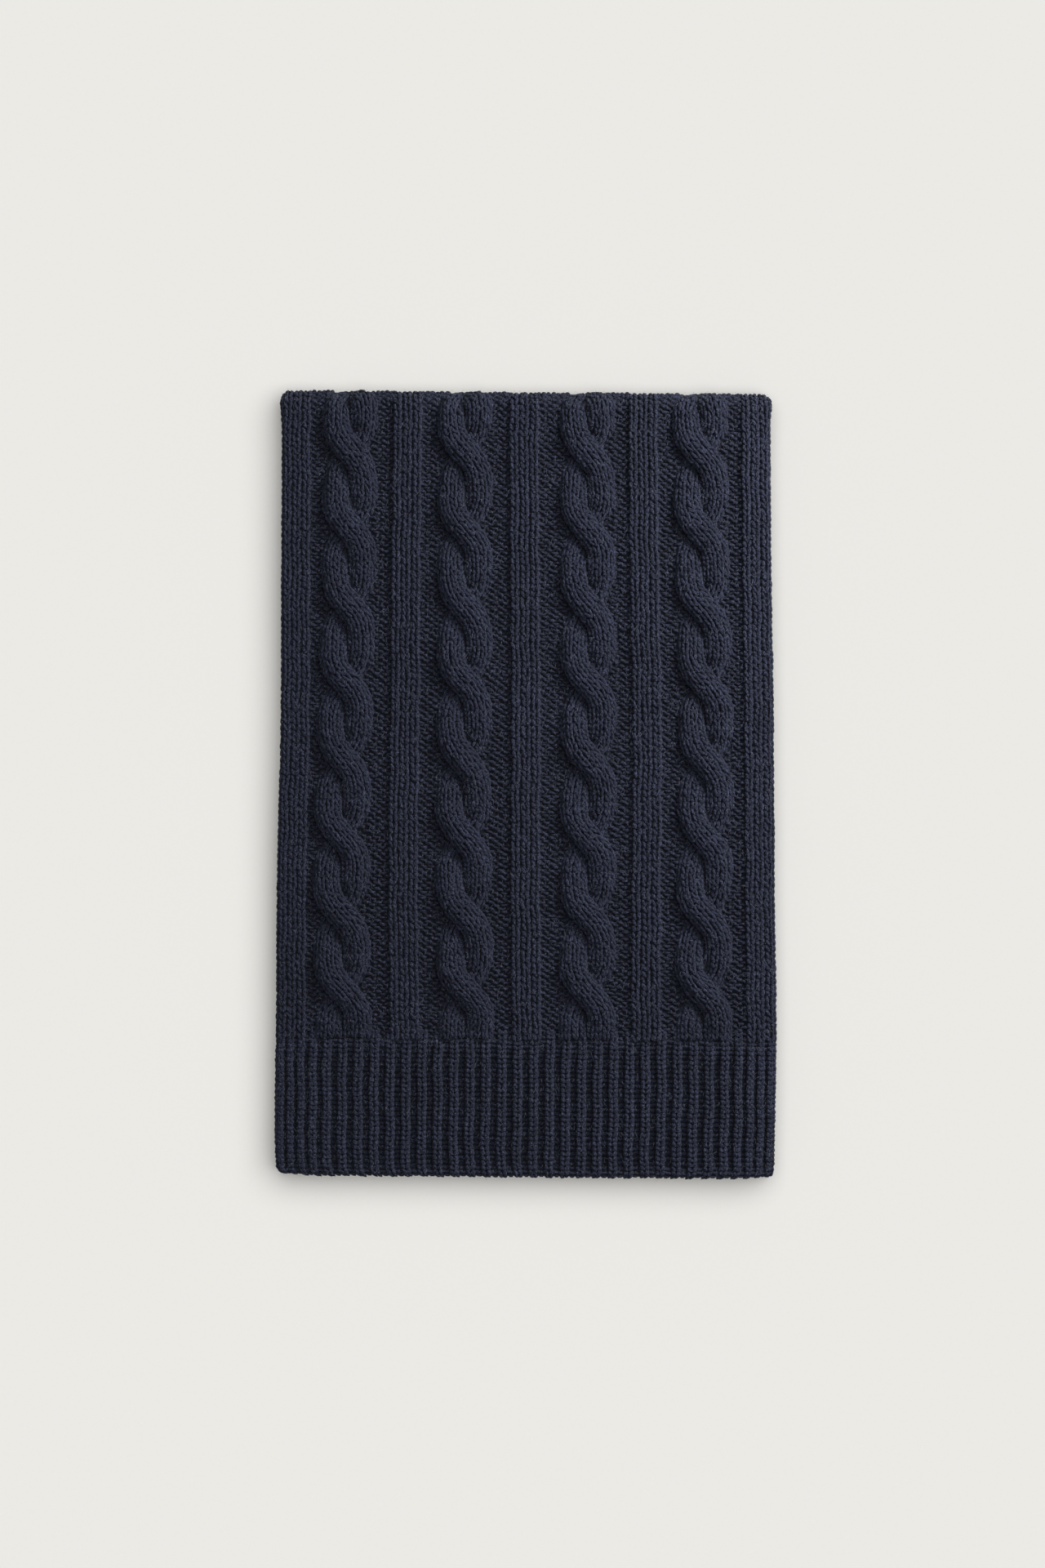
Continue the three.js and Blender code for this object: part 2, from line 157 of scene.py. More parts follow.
# Where the columns of stitch wander to along the scarf: place along, then the centres of the
# four cables and of the three panels between them
COLUMNS = [
    (-152.0, -107.9, -35.6, 35.6, 104.4, -71.8, 0.2, 70.6),
    (-124.0, -107.9, -35.6, 35.9, 104.4, -71.8, 0.2, 70.6),
    (-78.0, -109.5, -36.4, 36.6, 105.4, -72.6, -0.2, 71.2),
    (14.0, -109.7, -37.9, 36.9, 107.1, -73.2, -0.6, 72.0),
    (107.0, -107.0, -37.2, 36.7, 106.0, -72.6, -0.9, 71.2),
    (199.0, -106.2, -37.0, 36.9, 104.9, -71.6, -1.2, 70.6),
    (252.8, -106.2, -37.0, 36.9, 104.9, -71.6, -1.2, 70.6),
]

# Cables
CABLE_PERIOD = 46.1
FIRST_CROSSING = 198.9
STRAND_SWING = 9.2
STRAND_SLANT = 0.09
STRAND_SIDE_RISE = 4.0
STRAND_CROSS_RISE = 2.6
STRAND_GROUND = 3.4
STRAND_RADIUS = 7.7
STRAND_CROSS_RADIUS = 10.6
STRAND_JOIN_RADIUS = 15.0
STRAND_WALE = 4.7
STRAND_HALF_WIDTH = 7.2
SEAM_CROWN = 2.2
UNDER_DIP = 2.9
HIDDEN_PHASE = 0.09
FOLD_DRAW = 5.0

# The cloth under a strand: its half width, how far its sides drop, both again where the strand
# lies against the other, and how far under the crown it stays
CORE_HALF_WIDTH = 6.7
CORE_DOME = 4.4
CORE_JOINED_HALF_WIDTH = 9.2
CORE_JOINED_DOME = 2.8
CORE_SUNK = 1.9

# Rib
RIB_COUNT = 34
RIB_PITCH = 9.45
RIB_EDGE_SQUEEZE = 3.6
RIB_SQUEEZED = 5
RIB_MARGIN = 2.9
RIB_COURSE = 2.89
RIB_GROUND = 1.25
RIB_SINK = 0.6
RIB_SEAM_GROUND = 0.85
RIDGE_RADIUS = 3.3
RIDGE_SHARE = 0.37
EDGE_RIDGE_RADIUS = 2.2

# What shows of the layers under the front: the second rib's last rows, the selvedges and the
# lower fold
SECOND_RIDGE_RADIUS = 2.4
SECOND_RIDGE_TOP = 4.0
SECOND_LIMIT = 4.9
SECOND_WALE = 5.6
SELVEDGE_RADIUS = 1.75
SELVEDGE_WALE = 4.6
FOLD_COURSE = 3.6
FOLD_WALE = 6.0

# Loose hairs
FIBRES = 16000
FIBRE_HALF = 0.04
rng = np.random.default_rng(7)

SHIFT_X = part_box("front_cabled_panel")[0].x * 1000 + 149.73
SHIFT_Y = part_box("front_cabled_panel")[0].y * 1000 + 153.05


def smooth(value, low, high):
    t = np.clip((value - low) / (high - low), 0, 1)
    return t * t * (3 - 2 * t)


def lerp(a, b, t):
    return a + (b - a) * t


def column_of(table, place, k):
    rows = np.array(table)
    return np.interp(place, rows[:, 0], rows[:, k])


def place(x, y, z):
    """Points in metres in the part's frame, out of square by the skew and never in the floor."""
    return np.stack([x + SHIFT_X, y - SKEW * x + SHIFT_Y, np.maximum(z, 0.0)], axis=-1) * 0.001


# The forms that the stitches lie on


def wrapped(s, h, start):
    """Past start the cloth turns down round its edge: the new place and height."""
    turn = np.clip((s - start) / WRAP_RADIUS, 0, WRAP_LIMIT)
    reach = h - WRAP_CENTRE
    out = np.where(s > start, start + reach * np.sin(turn), s)
    height = np.where(s > start, WRAP_CENTRE + reach * np.cos(turn), h)
    return out, height


def uneven(u, a):
    """How far the stitches of a soft knit stand out of line, across and along."""
    across = np.sin(a / 8.3 + 1.4 * np.sin(u / 19)) + np.sin(a / 4.9 + u / 12)
    along = np.sin(u / 5.7 + 1.3 * np.sin(a / 23)) + np.sin(u / 10.3 - a / 31)
    return WANDER * across, WANDER * along


def front(u, a, h):
    """The front stretch: up the top, round the outer fold, and round its free edges. Where the fold
    runs out under the stack it is pressed to the underside's thickness."""
    flat = 1 - smooth(a, FOLD_START - 12, FOLD_START + 8)
    h = h * (1 - EDGE_THINNING * smooth(np.abs(u), THINNING_START, THINNING_END) * flat)
    across, along = uneven(u, a)
    u = u + across
    a = a + along
    across, h = wrapped(np.abs(u), h, SIDE_BEND)
    down, h = wrapped(-a, h, END_BEND)
    turn = np.clip((a - FOLD_START) / FOLD_CLOTH_RADIUS, 0, math.pi)
    pressed = smooth(turn, 0.5 * math.pi, 0.9 * math.pi)
    h = np.minimum(h, UNDER_THICKNESS + FREE_RISE * (1 - pressed))
    radius = FOLD_INNER_RADIUS + h
    y = np.where(turn > 0, FOLD_START + radius * np.sin(turn), -down)
    z = np.where(turn > 0, FOLD_CENTRE_Z + radius * np.cos(turn), FRONT_INSIDE + h)
    across = across - CORNER_INSET * np.sin(turn) ** 2 * (across / LAYOUT_HALF_WIDTH) ** 8
    share = (np.sign(u) * across / LAYOUT_HALF_WIDTH + 1) / 2
    at = np.minimum(y, FOLD_START)
    x = lerp(column_of(OUTLINE, at, 1), column_of(OUTLINE, at, 2), share)
    return place(x, y, z)


def relief(h, a):
    """The height of a form on the front, stretched flatter where it runs over the outer fold."""
    turn = np.clip((a - FOLD_START) / FOLD_CLOTH_RADIUS, 0, math.pi)
    return MEAN_RELIEF + (h - MEAN_RELIEF) * lerp(1, APEX_RELIEF, smooth(turn, 0, math.pi / 2))


def panel_surface(centre, left, right):
    """A flat panel with round shoulders left and right of its flat stretch."""
    def surface(w, c, n):
        over = np.maximum(w - right, 0) + np.minimum(w + left, 0)
        turn = np.clip(over / PANEL_SHOULDER, -PANEL_SHOULDER_TURN, PANEL_SHOULDER_TURN)
        u = np.clip(w, -left, right) + (PANEL_SHOULDER + n) * np.sin(turn)
        drop = PANEL_SHOULDER * (1 - np.cos(turn))
        return front(centre(c) + u, c, relief(PANEL_TOP - drop, c) + n * np.cos(turn))
    return surface


def cable_phase(c, strand):
    """Even where a strand crosses over and odd where it crosses under, sooner at the outer fold."""
    drawn = c + FOLD_DRAW * smooth(c, FOLD_START - 20, FOLD_START + 14)
    return (FIRST_CROSSING - drawn) / CABLE_PERIOD - strand


def strand_path(c, strand):
    """A strand's centre across from the cable's axis, its slope and its crown's height."""
    turn = math.pi * cable_phase(c, strand)
    across = STRAND_SWING * (np.sin(turn) + STRAND_SLANT * np.sin(3 * turn)) / (1 - STRAND_SLANT)
    rate = (np.cos(turn) + 3 * STRAND_SLANT * np.cos(3 * turn)) / (1 - STRAND_SLANT)
    slope = -STRAND_SWING * rate * math.pi / CABLE_PERIOD
    over = np.cos(turn)
    crown = STRAND_SIDE_RISE + STRAND_CROSS_RISE * np.maximum(over, 0)
    crown = crown - UNDER_DIP * smooth(-over, 0.15, 1)
    return across, slope, crown, over


def above_rib(a):
    """From 0 just under the rib's seam, where the cables start low, to 1 a little above it."""
    return smooth(a, RIB_SEAM - 2, RIB_SEAM + 10)


def joined(across, w):
    """1 where a strand lies against the other, at the side w towards the cable's axis."""
    beside = smooth(np.abs(across), 0.75 * STRAND_SWING, STRAND_SWING)
    return smooth(-np.sign(across) * w, 0, 5) * beside


def strand_surface(cable, strand):
    """One strand of a cable: a round-backed band that swings from side to side."""
    def surface(w, c, n):
        across, slope, crown, over = strand_path(c, strand)
        radius = lerp(STRAND_RADIUS, STRAND_CROSS_RADIUS, smooth(over, 0, 1))
        radius = lerp(radius, STRAND_JOIN_RADIUS, joined(across, w))
        turn = w / radius
        across = across + (radius + n) * np.sin(turn) / np.sqrt(1 + slope**2)
        a = c - (radius + n) * np.sin(turn) * slope / np.sqrt(1 + slope**2)
        lift = above_rib(a)
        top = STRAND_GROUND - YARN_HALF + lerp(SEAM_CROWN, crown, lift)
        drop = radius * (1 - np.cos(turn)) * lerp(0.25, 1, lift)
        u = column_of(COLUMNS, c, cable) + across
        return front(u, a, relief(top, c) - drop + n * np.cos(turn))
    return surface


def cable_reach(c):
    """How far a cable's outer edge is from its axis."""
    across, slope = strand_path(c, 0)[:2]
    return np.abs(across) + STRAND_HALF_WIDTH * np.sqrt(1 + slope**2)


def purl_surface(edge, side):
    """The purl ground beside a panel's edge: w is the distance from the edge towards the cable."""
    def surface(w, c, n):
        return front(edge(c) + side * w, c, relief(PURL_TOP, c) + n)
    return surface


def rib_centres():
    """The ridges' centres across the rib, closer together at the selvedges."""
    k = np.arange(RIB_COUNT - 1)
    from_edge = np.minimum(k, RIB_COUNT - 2 - k)
    pitch = RIB_PITCH - RIB_EDGE_SQUEEZE * (1 - smooth(from_edge, 0, RIB_SQUEEZED))
    places = np.concatenate([[0], np.cumsum(pitch)])
    scale = 2 * (LAYOUT_HALF_WIDTH - RIB_MARGIN) / places[-1]
    return (places - places[-1] / 2) * scale


def ridge_top(c):
    """The height of the ridges of the rib, which sink in at the cast-on edge and past the seam."""
    at_seam = RIB_SINK * smooth(c, RIB_SEAM - 9, RIB_SEAM + 1) + smooth(c, RIB_SEAM, RIB_SEAM + 6)
    return PANEL_TOP - at_seam - RIB_SINK * smooth(-c, END_BEND - 3, END_BEND + 2)


def ridge_surface(centre, radius):
    """One round ridge of the rib."""
    def surface(w, c, n):
        turn = np.clip(w / radius, -1.4, 1.4)
        u = centre + (radius + n) * np.sin(turn)
        return front(u, c, ridge_top(c) - radius + (radius + n) * np.cos(turn))
    return surface


def rib_ground(c):
    """The height of the grooves of the rib, which fade out at the seam and at a thick cast-on edge."""
    at_seam = RIB_SEAM_GROUND * smooth(c, RIB_SEAM - 14, RIB_SEAM + 1)
    ends = smooth(-c, END_BEND - 6, END_BEND) + at_seam
    return lerp(RIB_GROUND, PANEL_TOP - 1.0, ends)


def ground_surface(centre):
    """One groove of the rib."""
    def surface(w, c, n):
        return front(centre + w, c, rib_ground(c) + n)
    return surface


def strip_path(s):
    """The middle of the underside, third and second layers as one strip, from the outer fold on:
    its place along, its height, and the way to its outside."""
    low, high = LOWER_MIDDLE_RADIUS, UPPER_MIDDLE_RADIUS
    low_turn = np.clip((s - FLAT) / low, 0, math.pi)
    high_turn = np.clip((s - 2 * FLAT - LOWER_ARC) / high, 0, math.pi)
    on_third = s - FLAT - LOWER_ARC
    on_second = s - 2 * FLAT - LOWER_ARC - UPPER_ARC
    y = np.where(s < FLAT, FOLD_START - s, LOWER_FOLD_START - low * np.sin(low_turn))
    z = LOWER_FOLD_RADIUS - low * np.cos(low_turn)
    z = np.where(on_third > 0, THIRD_MIDDLE, z)
    y = np.where(on_third > 0, LOWER_FOLD_START + on_third, y)
    y = np.where(high_turn > 0, FOLD_START + high * np.sin(high_turn), y)
    z = np.where(high_turn > 0, FOLD_CENTRE_Z - high * np.cos(high_turn), z)
    y = np.where(on_second > 0, FOLD_START - on_second, y)
    z = np.where(on_second > 0, SECOND_MIDDLE, z)
    angle = math.pi + low_turn - high_turn
    return y, z, -np.sin(angle), np.cos(angle)


def layer_edge(y, s, side):
    """Where the selvedge of a layer under the front is: the underside's own, then the others'."""
    outline = column_of(OUTLINE, y, 1 if side < 0 else 2)
    under = column_of(OFFSETS, y, 1 if side < 0 else 2)
    inner = column_of(OFFSETS, y, 3 if side < 0 else 4)
    return outline + side * lerp(under, inner, smooth(s, FLAT + 2, FLAT + 12))


def selvedge_surface(side):
    """Round the edge of the strip: w goes round the edge and c along the strip."""
    def surface(w, c, n):
        y, z, out_y, out_z = strip_path(c)
        turn = w / SELVEDGE_RADIUS
        radius = SELVEDGE_RADIUS + n
        reach = radius * np.sin(turn)
        x = layer_edge(y, c, side) + side * (radius * np.cos(turn) - HALF_LAYER)
        return place(x, y + reach * out_y, z + reach * out_z)
    return surface


def lower_fold_surface(w, c, n):
    """Round the lower fold: c is the length round it from the surface that the scarf lies on."""
    turn = c / (LOWER_FOLD_RADIUS - YARN_HALF)
    radius = LOWER_FOLD_RADIUS - YARN_HALF + n
    y = LOWER_FOLD_START - radius * np.sin(turn)
    left = column_of(OUTLINE, y, 1) - column_of(OFFSETS, y, 1)
    right = column_of(OUTLINE, y, 2) + column_of(OFFSETS, y, 2)
    x = lerp(left, right, (w / LAYOUT_HALF_WIDTH + 1) / 2)
    return place(x, y, LOWER_FOLD_RADIUS - radius * np.cos(turn))


def second_end_surface(centre):
    """One ridge of the second rib's last rows, which turn down round its end."""
    def surface(w, c, n):
        turn = np.clip(w / SECOND_RIDGE_RADIUS, -1.3, 1.3)
        radius = SECOND_RIDGE_RADIUS + n
        h = SECOND_RIDGE_TOP - SECOND_RIDGE_RADIUS + radius * np.cos(turn)
        down, h = wrapped(-c, np.minimum(h, SECOND_LIMIT), SECOND_BEND)
        u = centre + radius * np.sin(turn)
        left = layer_edge(-down, STRIP_END, -1)
        right = layer_edge(-down, STRIP_END, 1)
        x = lerp(left, right, (u / LAYOUT_HALF_WIDTH + 1) / 2)
        return place(x, -down, SECOND_INSIDE + h)
    return surface


# The pieces of yarn that show, each an arch over the cloth


WIDE_ARCH = (-118, -56, 0, 56, 118)
NARROW_ARCH = (-110, -40, 40, 110)


def grain_template(rings, swell, dip, bow, arch=WIDE_ARCH):
    """A short length of yarn: its places across, along and up for half-sizes of 1."""
    around = np.radians(arch)
    q = np.linspace(-1, 1, rings)[:, None]
    size = np.interp(q, np.linspace(-1, 1, len(swell)), swell)
    across = size * np.sin(around)[None, :]
    up = size * np.cos(around)[None, :] + np.interp(q, np.linspace(-1, 1, len(dip)), dip)
    along = q + 0 * across
    bend = bow * (1 / 3 - q**2) + 0 * across
    faces = []
    count = len(arch)
    for j in range(rings - 1):
        for i in range(count - 1):
            first = j * count + i
            faces.append((first, first + 1, first + 1 + count, first + count))
    flat = lambda values: values.reshape(-1)
    turned = flat(around[None, :] + 0 * across)
    return {
        "across": flat(across),
        "along": flat(along),
        "up": flat(up),
        "bend": flat(bend),
        "around": turned,
        "faces": np.array(faces),
    }


LEG = grain_template(5, [0.62, 1.0, 1.0, 0.86, 0.5], [-0.05, 0.15, 0.1, -0.2, -0.75], 0.22)
BUMP = grain_template(5, [0.55, 0.95, 1.0, 0.95, 0.55], [-0.8, -0.05, 0.15, -0.05, -0.8], 1.0)
THIN_BUMP = grain_template(4, [0.5, 1.0, 1.0, 0.5], [-0.8, 0.1, 0.1, -0.8], 1.0, NARROW_ARCH)

# Each piece of yarn has a cell of the UV map to itself: the ways round and along it are scaled to
# the cell, and the cell keeps a margin
CELL_AROUND = 4.4
CELL_ALONG = 0.46
CELL_FILLED = 0.84
CELL_MARGIN = 0.08


class Stitches:
    """Gathers pieces of yarn for one mesh."""

    def __init__(self):
        self.points = []
        self.faces = []
        self.yarn = []
        self.cells = []
        self.grains = 0
        self.count = 0

    def lay(self, template, surface, w, c, n, turn, length, width, thick, side, wander=1.0):
        """Lays one piece of yarn at each (w, c, n), turned by turn from the way along."""
        shape = np.broadcast_shapes(np.shape(w), np.shape(c), np.shape(turn), np.shape(side))
        many = int(np.prod(shape))
        spread = lambda v: np.broadcast_to(v, shape).reshape(many, 1).astype(float)
        w, c, n, turn, side = (spread(v) for v in (w, c, n, turn, side))
        jitter = lambda scale: rng.normal(0, 1, (many, 1)) * scale * wander
        turn = turn + jitter(TURN_JITTER)
        grow = 1 + jitter(THICKNESS_JITTER)
        across = template["across"][None, :] * width * grow + template["bend"][None, :] * side
        along = template["along"][None, :] * length * (1 + jitter(LENGTH_JITTER))
        up = template["up"][None, :] * thick * grow
        w = w + jitter(ACROSS_JITTER) + across * np.cos(turn) + along * np.sin(turn)
        c = c + jitter(ALONG_JITTER) - across * np.sin(turn) + along * np.cos(turn)
        n = n + jitter(UP_JITTER) + up
        points = surface(w, c, n).reshape(-1, 3)
        faces = template["faces"]
        if self.mirrored(surface, w[0, 0], c[0, 0], n[0, 0]):
            faces = faces[:, ::-1]
        size = len(template["across"])
        start = self.count + np.arange(many)[:, None, None] * size
        self.faces.append((faces[None, :, :] + start).reshape(-1, 4))
        self.points.append(points)
        luck = np.repeat(rng.random(many), size)
        around = np.tile(template["around"], many)
        self.yarn.append(np.stack([around, along.reshape(-1), luck], axis=-1))
        cell = np.repeat(np.arange(many) + self.grains, size)
        lengthwise = np.tile(template["along"], many) * CELL_ALONG + 0.5
        self.cells.append((cell, np.stack([around / CELL_AROUND + 0.5, lengthwise], axis=-1)))
        self.count += many * size
        self.grains += many

    @staticmethod
    def mirrored(surface, w, c, n):
        """Whether a surface's own directions are left-handed, so that faces have to turn over."""
        step = 0.05
        base, by_w, by_c, by_n = (
            surface(np.array([w + dw]), np.array([c + dc]), np.array([n + dn]))[0]
            for dw, dc, dn in ((0, 0, 0), (step, 0, 0), (0, step, 0), (0, 0, step))
        )
        return np.dot(np.cross(by_w - base, by_c - base), by_n - base) < 0

    def build(self, name, material):
        """One mesh of all the pieces laid so far, with its UV map and yarn attribute."""
        side = math.ceil(math.sqrt(self.grains))
        cell = np.concatenate([c for c, _ in self.cells])
        inside = np.concatenate([p for _, p in self.cells]) * CELL_FILLED + CELL_MARGIN
        corner = np.stack([cell % side, cell // side], axis=-1)
        uv = (corner + inside) / side
        obj = mesh_object(name, np.concatenate(self.points), np.concatenate(self.faces), material)
        layer = obj.data.uv_layers.new(name="OFBake")
        layer.data.foreach_set("uv", uv[np.concatenate(self.faces).reshape(-1)].reshape(-1))
        vector_attribute(obj.data, "yarn", np.concatenate(self.yarn))
        return obj


def vector_attribute(mesh, name, values):
    attribute = mesh.attributes.new(name, "FLOAT_VECTOR", "POINT")
    attribute.data.foreach_set("vector", values.astype(np.float32).reshape(-1))


def mesh_object(name, points, faces, material):
    mesh = bpy.data.meshes.new(name)
    mesh.vertices.add(len(points))
    mesh.vertices.foreach_set("co", points.astype(np.float32).reshape(-1))
    mesh.loops.add(faces.size)
    mesh.loops.foreach_set("vertex_index", faces.astype(np.int32).reshape(-1))
    mesh.polygons.add(len(faces))
    mesh.polygons.foreach_set("loop_start", np.arange(0, faces.size, faces.shape[1], dtype=np.int32))
    mesh.update(calc_edges=True)
    mesh.validate()
    mesh.shade_smooth()
    mesh.materials.append(material)
    obj = bpy.data.objects.new(name, mesh)
    bpy.context.scene.collection.objects.link(obj)
    return obj


def courses(start, end, course=COURSE):
    """The middles of the courses from start to end."""
    return np.arange(start + course / 2, end, course)


def knit_columns(stitches, surface, places, rows, course, pitch, width, lean,
                 thick=YARN_HALF, wander=1.0, stretch=0.7):
    """Columns of V stitches: places are the middles of the wales."""
    for side in (-1, 1):
        w = places[:, None] + side * pitch * LEG_OFFSET
        stitches.lay(
            LEG, surface, w, rows[None, :], 0.0, side * math.radians(lean),
            course * stretch, width, thick, side, wander,
        )


# Materials


class Nodes:
    """Short names for building a node material."""

    def __init__(self, material):
        material.use_nodes = True
        self.tree = material.node_tree
        self.shader = self.tree.nodes["Principled BSDF"]

    def add(self, kind, **inputs):
        node = self.tree.nodes.new(kind)
        for name, value in inputs.items():
            key = name.replace("_", " ")
            if hasattr(node, name) and key not in node.inputs:
                setattr(node, name, value)
            else:
                self.feed(node.inputs[key], value)
        return node

    def feed(self, socket, value):
        if isinstance(value, bpy.types.NodeSocket):
            self.tree.links.new(value, socket)
        else:
            socket.default_value = value

    def math(self, operation, a, b=0.0, c=0.0):
        node = self.tree.nodes.new("ShaderNodeMath")
        node.operation = operation
        for socket, value in zip(node.inputs, (a, b, c)):
            self.feed(socket, value)
        return node.outputs[0]

    def mix(self, share, a, b, blend="MIX"):
        node = self.tree.nodes.new("ShaderNodeMix")
        node.data_type = "RGBA"
        node.blend_type = blend
        self.feed(node.inputs["Factor"], share)
        self.feed(node.inputs["A"], a)
        self.feed(node.inputs["B"], b)
        return node.outputs["Result"]

    def noise(self, vector, scale, detail=2.0, rough=0.5):
        node = self.add("ShaderNodeTexNoise", Vector=vector, Scale=scale, Detail=detail, Roughness=rough)
        return node.outputs["Fac"]

    def range(self, value, low, high, out_low, out_high):
        node = self.tree.nodes.new("ShaderNodeMapRange")
        for socket, v in zip(node.inputs, (value, low, high, out_low, out_high)):
            self.feed(socket, v)
        return node.outputs[0]


DARK_WOOL = (0.0013, 0.0018, 0.0054, 1)
MID_WOOL = (0.0043, 0.0052, 0.0135, 1)
PALE_FIBRE_AND_GLINT = (0.0437, 0.0495, 0.0905, 1)
GREEN_WOOL = (0.0042, 0.0065, 0.0112, 1)
DARK_HAIR = (0.03, 0.035, 0.06, 1)
PALE_HAIR = (0.17, 0.19, 0.26, 1)
TABLE_DARK = (0.87, 0.859, 0.821, 1)
TABLE_PALE = (0.89, 0.879, 0.841, 1)


def wool_finish(nodes, colour, height, strength):
    """Matt, slightly hairy wool: the finish that yarn and cloth share."""
    shader = nodes.shader
    bump = nodes.add("ShaderNodeBump", Height=height, Strength=strength, Distance=0.00025)
    nodes.feed(shader.inputs["Base Color"], colour)
    nodes.feed(shader.inputs["Normal"], bump.outputs[0])
    shader.inputs["Roughness"].default_value = 0.93
    shader.inputs["Specular IOR Level"].default_value = 0.18
    shader.inputs["Sheen Weight"].default_value = 0.04
    shader.inputs["Sheen Roughness"].default_value = 0.45
    shader.inputs["Sheen Tint"].default_value = (0.62, 0.68, 0.88, 1)


def heathered(nodes, fine, luck, position):
    """Navy wool with greener fibres spun in, and pale flecks that stand both for paler fibres spun in
    and for painted glints of light on single fibres.
    """
    broad = nodes.noise(position, 28.0, 2.0)
    patches = nodes.noise(position, 160.0, 2.0)
    # Pale flecks along the yarn: partly paler fibres spun in, partly painted highlights where single
    # fibres catch the light.
    fleck_and_glint = nodes.range(fine, 0.5, 0.66, 0.0, 1.0)
    colour = nodes.mix(nodes.range(luck, 0.0, 1.0, 0.1, 0.9), DARK_WOOL, MID_WOOL)
    colour = nodes.mix(nodes.range(patches, 0.35, 0.65, 0.0, 0.6), colour, GREEN_WOOL)
    colour = nodes.mix(fleck_and_glint, colour, PALE_FIBRE_AND_GLINT)
    value = nodes.range(broad, 0.3, 0.7, 0.9, 1.1)
    tone = nodes.add("ShaderNodeCombineColor", Red=value, Green=value, Blue=value)
    return nodes.mix(1.0, colour, tone.outputs[0], "MULTIPLY")


def yarn_material():
    """Yarn seen stitch by stitch: plies that twist round it, fibres along it."""
    material = bpy.data.materials.new("knit_yarn")
    nodes = Nodes(material)
    yarn = nodes.add("ShaderNodeAttribute", attribute_name="yarn").outputs["Vector"]
    parts = nodes.add("ShaderNodeSeparateXYZ", Vector=yarn)
    around, along, luck = parts.outputs
    position = nodes.add("ShaderNodeTexCoord").outputs["Object"]
    offset = nodes.math("MULTIPLY", luck, 57.0)
    fibre = nodes.add(
        "ShaderNodeCombineXYZ",
        X=nodes.math("MULTIPLY_ADD", along, 0.8, nodes.math("MULTIPLY", around, 0.9)),
        Y=nodes.math("MULTIPLY_ADD", around, 2.6, nodes.math("MULTIPLY", along, -1.1)),
        Z=offset,
    ).outputs[0]
    fine = nodes.noise(fibre, 1.0, 4.0, 0.75)
    twist = nodes.math("MULTIPLY_ADD", along, 3.4, nodes.math("MULTIPLY", around, 1.5))
    twist = nodes.math("SINE", nodes.math("ADD", twist, nodes.math("MULTIPLY", offset, 6.0)))
    height = nodes.math("MULTIPLY_ADD", twist, 0.5, nodes.math("MULTIPLY", fine, 2.2))
    colour = heathered(nodes, fine, luck, position)
    wool_finish(nodes, colour, height, 0.85)
    return material


def cloth_material():
    """The cloth under the stitches, and its plain faces: rows of V stitches pressed flat, with painted
    shade in their hollows and where stitches cover the cloth.
    """
    material = bpy.data.materials.new("knit_cloth")
    nodes = Nodes(material)
    cloth = nodes.add("ShaderNodeAttribute", attribute_name="cloth").outputs["Vector"]
    across, along, shaded_under_stitches = nodes.add("ShaderNodeSeparateXYZ", Vector=cloth).outputs
    position = nodes.add("ShaderNodeTexCoord").outputs["Object"]
    wale = nodes.math("FRACT", nodes.math("DIVIDE", across, WALE))
    from_middle = nodes.math("ABSOLUTE", nodes.math("SUBTRACT", wale, 0.5))
    course = nodes.math("DIVIDE", along, COURSE)
    chevron = nodes.math("SUBTRACT", course, nodes.math("MULTIPLY", from_middle, 1.5))
    legs = nodes.math("SINE", nodes.math("MULTIPLY", chevron, 2 * math.pi))
    column = nodes.math("COSINE", nodes.math("MULTIPLY", from_middle, 4 * math.pi))
    fine = nodes.noise(position, 1500.0, 3.0, 0.6)
    luck = nodes.noise(position, 300.0, 1.0)
    height = nodes.math("MULTIPLY_ADD", legs, 1.6, nodes.math("MULTIPLY", column, -1.2))
    height = nodes.math("ADD", height, nodes.math("MULTIPLY", fine, 1.5))
    colour = heathered(nodes, fine, luck, position)
    # Painted shade: the cloth is darkened in the low parts of its pressed stitch pattern, and darker
    # still where it lies under stitches and shows only in the gaps between them.
    raised = nodes.math("ADD", legs, nodes.math("MULTIPLY", column, -0.8))
    shade = nodes.range(raised, -1.6, 1.6, 0.45, 1.05)
    shade = nodes.math("MULTIPLY", shade, nodes.range(shaded_under_stitches, 0.0, 1.0, 1.0, 0.55))
    tone = nodes.add("ShaderNodeCombineColor", Red=shade, Green=shade, Blue=shade).outputs[0]
    wool_finish(nodes, nodes.mix(1.0, colour, tone, "MULTIPLY"), height, 1.0)
    return material


def hair_material():
    """Single hairs, paler than the yarn because the light comes through them."""
    material = bpy.data.materials.new("wool_hair")
    nodes = Nodes(material)
    position = nodes.add("ShaderNodeTexCoord").outputs["Object"]
    patch = nodes.noise(position, 900.0, 1.0)
    colour = nodes.mix(patch, DARK_HAIR, PALE_HAIR)
    nodes.feed(nodes.shader.inputs["Base Color"], colour)
    nodes.shader.inputs["Roughness"].default_value = 0.8
    nodes.shader.inputs["Specular IOR Level"].default_value = 0.3
    return material


def floor_material():
    """A pale, matt table with a very fine grain."""
    material = bpy.data.materials.new("pale_table")
    nodes = Nodes(material)
    position = nodes.add("ShaderNodeTexCoord").outputs["Object"]
    grain = nodes.noise(position, 400.0, 3.0)
    nodes.feed(nodes.shader.inputs["Base Color"], nodes.mix(grain, TABLE_DARK, TABLE_PALE))
    nodes.shader.inputs["Roughness"].default_value = 0.9
    nodes.shader.inputs["Specular IOR Level"].default_value = 0.1
    return material


yarn = yarn_material()
cloth = cloth_material()
hair = hair_material()
made = {}


def keep(obj):
    made[obj.name] = obj
    return obj


# The cloth itself: a thin shell on the form of each layer, under the stitches


